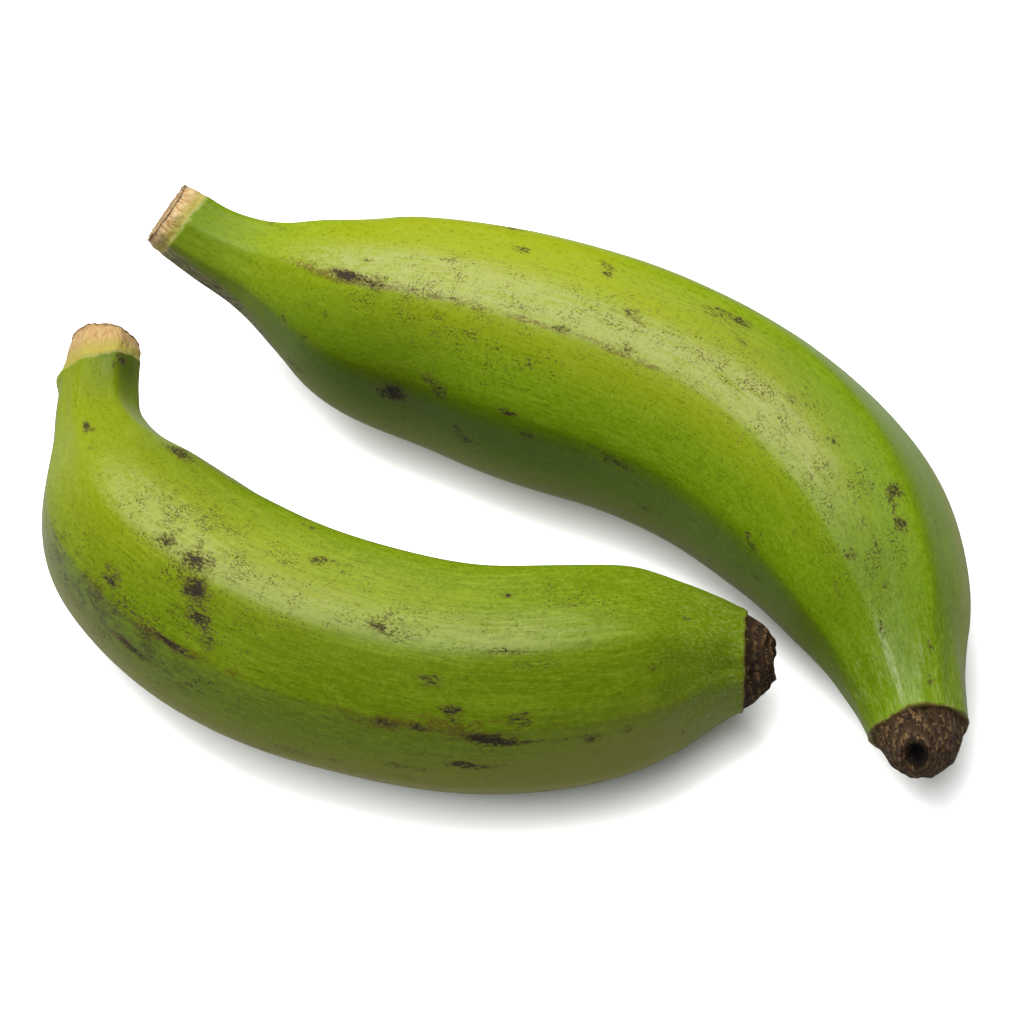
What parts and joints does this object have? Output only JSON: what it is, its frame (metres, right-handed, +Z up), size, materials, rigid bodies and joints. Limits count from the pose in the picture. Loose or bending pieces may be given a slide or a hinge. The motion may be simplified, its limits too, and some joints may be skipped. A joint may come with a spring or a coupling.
{
  "type": "bunch of plantains",
  "caption": "Whole green cooking plantains of one bunch, curved and ridged, each with a cut stem and a brown blossom scar, lying side by side.",
  "frame": {"origin": "on the surface that the plantains lie on, under the middle of the pair's box", "axes": "+Z up; +X along the pair's longest side, from the cut stems towards the blossom ends; +Y away from the viewer"},
  "size_m": [0.1958, 0.1546, 0.0557],
  "materials": {
    "long_skin": "waxy green peel, pale along one ridge, with dark scuffs and specks",
    "short_skin": "waxy green peel, with more dark bruises and brown rubbed lines"
  },
  "bodies": {
    "root": {"plantain_long": "long_skin", "plantain_short": "short_skin"}
  },
  "joints": []
}
